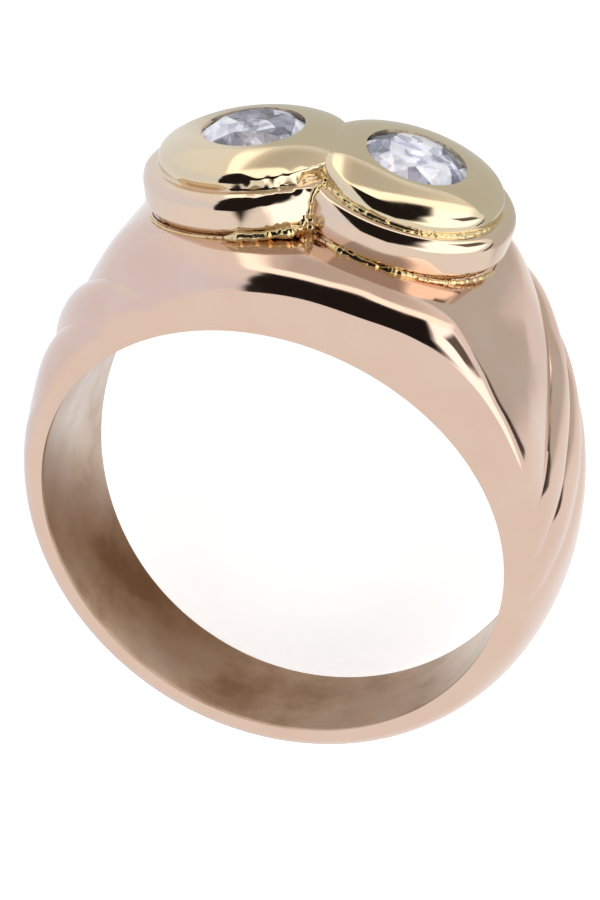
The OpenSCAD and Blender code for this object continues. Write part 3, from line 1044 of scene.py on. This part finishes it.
def painted_table_reflection():
    """Painted reflection of the photographer's table, glowing: pale, with the ring's taupe painted shadow
    beyond its right shoulder, a dark thing at its far end, and brown painted shade inside the finger hole."""
    mat, graph, shader, where = principled("painted_table_reflection")
    split = graph.add("SeparateXYZ", where)
    x = split.outputs["X"]
    y = split.outputs["Y"]

    maths = graph.maths
    both = graph.both
    mix = graph.mix

    def step(value, start, whole):
        return graph.remap(value, start * MM, whole * MM, 0.0, 1.0)

    def zone(in_x, in_y):
        return both(step(x, *in_x), step(y, *in_y))

    def off_centre(value, k):
        moved = maths("SUBTRACT", value, HOLE_CENTRE[k] * MM)
        return maths("POWER", maths("MULTIPLY", moved, 1 / (HOLE_RADII[k] * MM)), 2.0)

    cool = step(maths("MULTIPLY", x, -1.0), *COOL_LEFTWARDS)
    # painted shadow of the ring, taupe
    taupe = maths("MAXIMUM", zone(*CAST_SHADOW_ZONE), zone(*BEHIND_ZONE))
    near_line = maths("ADD", y, maths("MULTIPLY", x, NEAR_SLOPE))
    far_line = maths("SUBTRACT", maths("MULTIPLY", x, FAR_SLOPE), y)
    thing = both(step(x, *THING_X), step(near_line, *NEAR_LINE), step(far_line, *FAR_LINE))
    hole = graph.remap(maths("ADD", off_centre(x, 0), off_centre(y, 1)), HOLE_FADE, 1.0, 1.0, 0.0)
    paler = maths("MAXIMUM", both(step(x, *PALER_X), PALER), both(zone(*CRESCENT_ZONE), CRESCENT))
    colour = mix(cool, CARD_PALE, CARD_COOL)
    # the ring's painted shadow on the table, with its soft edge
    colour = mix(zone(*HALF_SHADOW_ZONE), colour, CARD_HALF_SHADOW)
    colour = mix(taupe, colour, CARD_CAST_SHADOW)
    colour = mix(thing, colour, CARD_THING)
    colour = mix(both(hole, graph.unless(paler)), colour, CARD_BROWN)
    shader.inputs["Base Color"].default_value = grey(0.0)
    shader.inputs["Specular IOR Level"].default_value = 0.0
    shader.inputs["Emission Strength"].default_value = 1.0
    graph.links.new(colour, shader.inputs["Emission Color"])
    return mat


def disc(name, radius, height):
    """Flat disc; its radius is in millimetres and its height in metres."""
    turns = spread(0, math.tau, FLOOR_SIDES)
    rim = np.stack([np.cos(turns), np.sin(turns), np.zeros(FLOOR_SIDES)], -1)
    return new_object(name, rim * radius * MM + (0, 0, height), [tuple(range(FLOOR_SIDES))])


def make_floor(low):
    """The paper that the camera sees, and just above it a glowing card that paints what the metal reflects
    in its place.
    """
    sheet = disc("floor", FLOOR_R, low)
    sheet.data.materials.append(paper())
    sheet.visible_glossy = False
    # glowing card of painted reflection, which only reflected rays see
    table = disc("table", CARD_R, low + CARD_RISE * MM)
    table.data.materials.append(painted_table_reflection())
    table.visible_camera = False
    table.visible_diffuse = False
    table.visible_transmission = False
    table.visible_shadow = False


def direction(azimuth, elevation):
    """Unit vector towards a compass bearing and a height above the horizon, in degrees."""
    a = math.radians(azimuth)
    e = math.radians(elevation)
    return np.array([math.cos(e) * math.cos(a), math.cos(e) * math.sin(a), math.sin(e)])


def make_world():
    """White to the camera; to everything else the light tent with its dark slot."""
    world = bpy.data.worlds.new("light_tent")
    bpy.context.scene.world = world
    world.use_nodes = True
    graph = Graph(world.node_tree)
    graph.nodes.clear()
    maths = graph.maths
    both = graph.both
    unless = graph.unless
    mix = graph.mix
    along = direction(*SLOT_AXIS)
    ahead = np.array([0, 0, 1.0]) - along[2] * along
    ahead /= np.linalg.norm(ahead)
    across = np.cross(ahead, along)
    look = graph.add("TexCoord").outputs["Generated"]

    def degrees(value):
        return maths("MULTIPLY", value, 180 / math.pi)

    def rises(value, edge, soft):
        """0 below the edge and 1 above it, over a soft step."""
        return graph.remap(value, maths("SUBTRACT", edge, soft), maths("ADD", edge, soft), 0.0, 1.0)

    def falls(value, edge, soft):
        return unless(rises(value, edge, soft))

    def follow(value, points):
        """Straight stretches between (value, result) pairs, level beyond both ends."""
        total = points[0][1]
        for (a, low), (b, high) in zip(points, points[1:]):
            total = maths("ADD", total, graph.remap(value, a, b, 0.0, high - low, "LINEAR"))
        return total

    s = degrees(maths("ARCCOSINE", graph.dot(look, along)))
    u = degrees(maths("ARCTAN2", graph.dot(look, across), graph.dot(look, ahead)))
    height = degrees(maths("ARCSINE", graph.dot(look, (0, 0, 1))))
    compass = degrees(maths("ARCTAN2", graph.dot(look, (0, 1, 0)), graph.dot(look, (1, 0, 0))))

    left = rises(u, follow(s, LEFT_EDGE), LEFT_SOFT)
    right = rises(u, follow(s, RIGHT_EDGE), follow(s, RIGHT_SOFT))
    far_end = follow(compass, FAR_END)
    beyond = falls(height, far_end, FAR_SOFT)
    slot = both(left, unless(right), unless(beyond), rises(s, *NEAR_END))

    cool = maths("MAXIMUM", rises(compass, *COOL_AZIMUTH[0]), falls(compass, *COOL_AZIMUTH[1]))
    tent = mix(cool, MEDIUM, COOL)

    bright = both(right, falls(u, follow(s, BRIGHT_EDGE), BRIGHT_SOFT))
    bright = both(bright, rises(height, *BRIGHT_HEIGHT), rises(s, *BRIGHT_ALONG))
    tent = mix(bright, tent, grey(BRIGHT))

    hem = maths("MULTIPLY", rises(height, maths("SUBTRACT", far_end, HEM_WIDTH), FAR_SOFT), HEM)
    light = maths("MAXIMUM", follow(compass, FOOT), hem)
    foot_colour = graph.add("CombineColor", *[maths("MULTIPLY", light, k) for k in FOOT_TINT])
    foot = both(rises(compass, *FOOT_BEGINS), falls(compass, *FOOT_ENDS))
    foot = both(foot, beyond, rises(height, *FOOT_HEIGHT))
    tent = mix(foot, tent, foot_colour.outputs["Color"])

    dim = both(rises(compass, *DIM_AZIMUTH[0]), falls(compass, *DIM_AZIMUTH[1]))
    dim = both(dim, falls(height, *DIM_HEIGHT[1]), rises(height, *DIM_HEIGHT[0]))
    tent = mix(dim, tent, DIM)

    light_path = graph.add("LightPath").outputs
    second = maths("GREATER_THAN", light_path["Ray Depth"], SECOND_DEPTH)
    left_dark = unless(maths("MULTIPLY", second, 1.0 - SECOND_DARK))
    seen = mix(both(slot, left_dark), tent, DARK)
    back = graph.add("Background", mix(light_path["Is Camera Ray"], seen, grey(1.0)))
    graph.add("OutputWorld", back.outputs["Background"])


def make_camera():
    """The photographer's view; up is where the stones are, turned by the roll."""
    back = direction(CAMERA_AZIMUTH, CAMERA_ELEVATION)
    head = laid((0, 0, 1.0))
    up = head / np.linalg.norm(head)
    right = np.cross(up, back)
    right /= np.linalg.norm(right)
    up = np.cross(back, right)
    roll = math.radians(CAMERA_ROLL)
    turned_right = math.cos(roll) * right + math.sin(roll) * up
    turned_up = math.cos(roll) * up - math.sin(roll) * right
    place = (np.array(CAMERA_AIM) + CAMERA_DISTANCE * back) * MM
    data = bpy.data.cameras.new("camera")
    data.lens = CAMERA_LENS
    data.sensor_width = CAMERA_SENSOR
    data.sensor_height = CAMERA_SENSOR
    data.clip_start = CAMERA_CLIP
    camera = bpy.data.objects.new("camera", data)
    camera.matrix_world = Matrix([
        (turned_right[i], turned_up[i], back[i], place[i]) for i in range(3)] + [(0, 0, 0, 1)])
    bpy.context.scene.collection.objects.link(camera)
    bpy.context.scene.camera = camera


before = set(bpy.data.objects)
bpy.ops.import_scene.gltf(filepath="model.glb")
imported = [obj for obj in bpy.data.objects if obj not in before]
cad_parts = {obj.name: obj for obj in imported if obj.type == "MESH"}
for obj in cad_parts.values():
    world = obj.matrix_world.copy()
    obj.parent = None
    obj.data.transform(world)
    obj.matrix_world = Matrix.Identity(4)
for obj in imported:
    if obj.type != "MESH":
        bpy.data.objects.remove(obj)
cad_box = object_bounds()

make_camera()
rose_gold = gold("rose_gold", ROSE_TONES, ROSE_POLISH, bore=BORE_SHADE_TONES)
yellow_gold = gold("yellow_gold", YELLOW_TONES, YELLOW_POLISH, low_tier=LOW_TIER_TONE)
solder_gold = gold("solder_gold", SOLDER_TONES, SOLDER_POLISH)
diamond = brilliant_material()

band = make_band()
band.data.materials.append(rose_gold)
bezels = make_bezels()
bezels.data.materials.append(yellow_gold)
for piece in (band, bezels):
    piece.data.set_sharp_from_angle(angle=math.radians(CRISP_DEG))
stones = {name: make_stone(name, side) for name, side in SIDES.items()}
for stone in stones.values():
    stone.data.materials.append(diamond)

solder = make_solder()
for piece in solder:
    piece.data.materials.append(solder_gold)
    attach(piece, "root")

for piece, node, slot in (
    (band, "band", "rose_gold"),
    (bezels, "bezel_pair", "yellow_gold"),
    (stones["left"], "stone_left", "diamond"),
    (stones["right"], "stone_right", "diamond"),
):
    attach(piece, "root")
    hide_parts(node)

make_world()
make_floor(float(cad_box[0][2]))
bpy.context.scene.view_settings.view_transform = "Standard"
